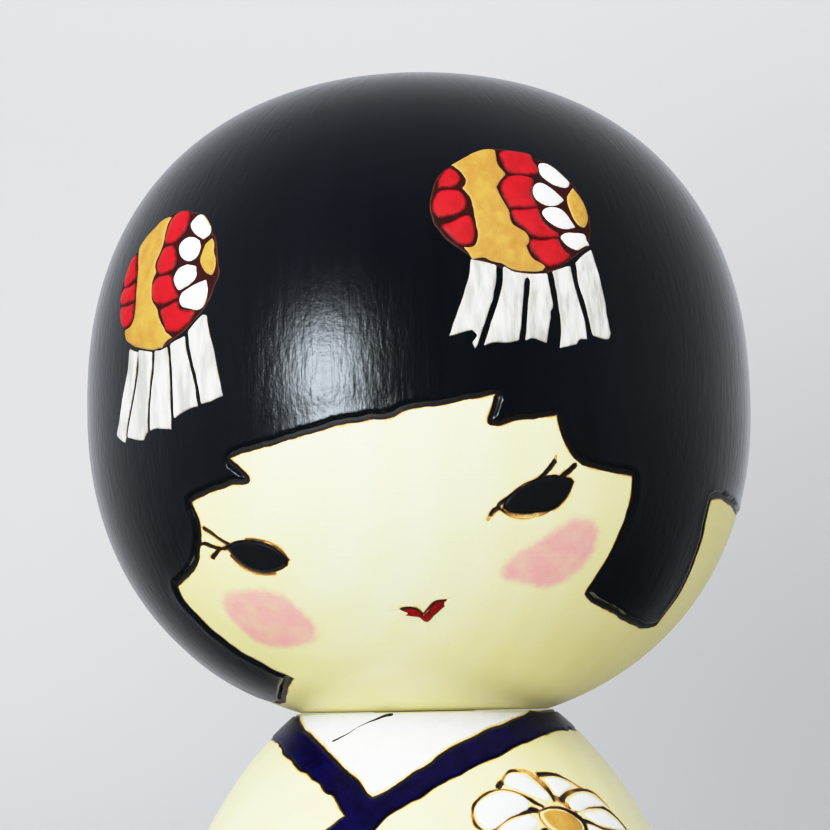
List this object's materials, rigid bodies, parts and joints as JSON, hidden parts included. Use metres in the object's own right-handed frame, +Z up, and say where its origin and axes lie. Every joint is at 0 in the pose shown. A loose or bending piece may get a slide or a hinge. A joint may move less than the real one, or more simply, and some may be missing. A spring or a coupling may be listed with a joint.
{
  "type": "kokeshi doll",
  "caption": "Turned wooden kokeshi doll: a round head with a bobbed hair painting that turns on a dowel set in a bell-shaped body.",
  "frame": {"origin": "centre of the foot, on the surface that the doll stands on", "axes": "+Z up along the turning axis of the body, the dowel and the head; the face looks along -Y and +X is the doll's left"},
  "size_m": [0.078, 0.078, 0.1466],
  "materials": {
    "body_wood": "clear satin varnish over turned dogwood, with burnt and painted kimono decoration",
    "head_wood": "clear satin varnish over turned dogwood",
    "dowel_wood": "plain, unvarnished",
    "hair_black": "semi-gloss lacquer paint with brush streaks",
    "paint_navy": "satin paint",
    "paint_red": "satin paint",
    "paint_gold": "grainy gold paint",
    "paint_white": "satin paint",
    "burnt_wood": "charred line burnt into the wood"
  },
  "bodies": {
    "body": {"body": "body_wood", "neck_dowel": "dowel_wood"},
    "head": {"head": "head_wood"}
  },
  "joints": [
    {"name": "head_turn", "type": "hinge", "parent": "body", "child": "head", "pos_m": [0, 0, 0.0723], "axis": [0, 0, 1], "continuous": true}
  ]
}
